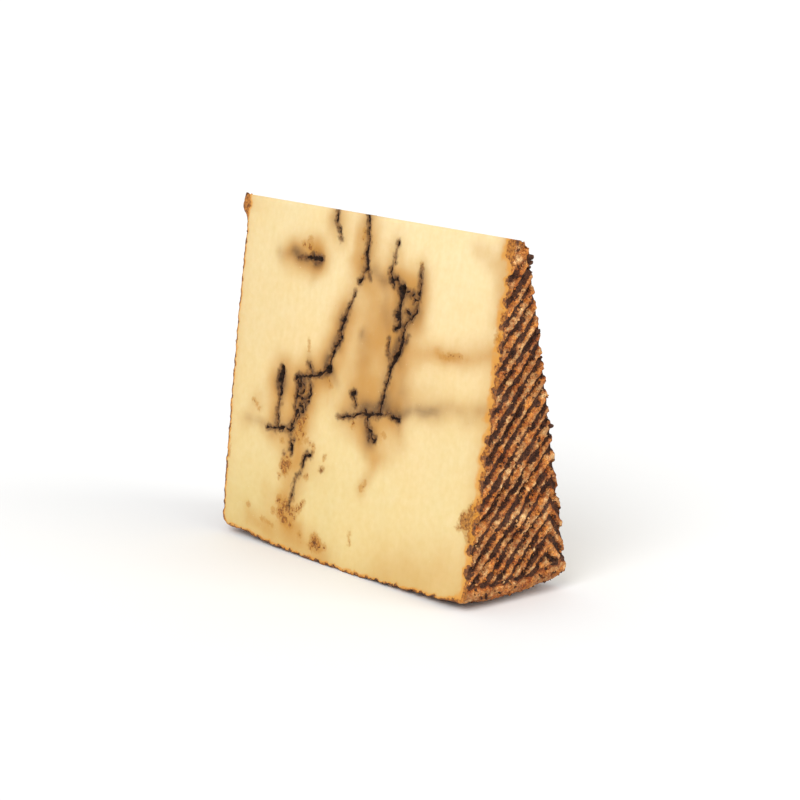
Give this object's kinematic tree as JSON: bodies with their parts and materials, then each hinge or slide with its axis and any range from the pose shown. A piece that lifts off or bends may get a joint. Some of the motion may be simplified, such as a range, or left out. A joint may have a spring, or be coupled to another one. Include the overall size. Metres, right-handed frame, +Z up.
{
  "type": "cut cheese wedge",
  "caption": "Tall wedge cut from a drum-shaped wheel of hard pressed cheese with dark truffle veins and a herringbone rind, standing on its outer rind with the tip up.",
  "frame": {"origin": "middle of the footprint, on the surface the wedge stands on", "axes": "+X along the wheel's axis from the left round face to the right one, +Z up towards the tip, the front cut faces -Y"},
  "size_m": [0.1294, 0.0404, 0.1074],
  "materials": {
    "cheese": "smooth waxy pale paste with grey-black truffle veins; rough brown rind with near-black grooves"
  },
  "bodies": {
    "root": {"cheese_wedge": "cheese"}
  },
  "joints": []
}
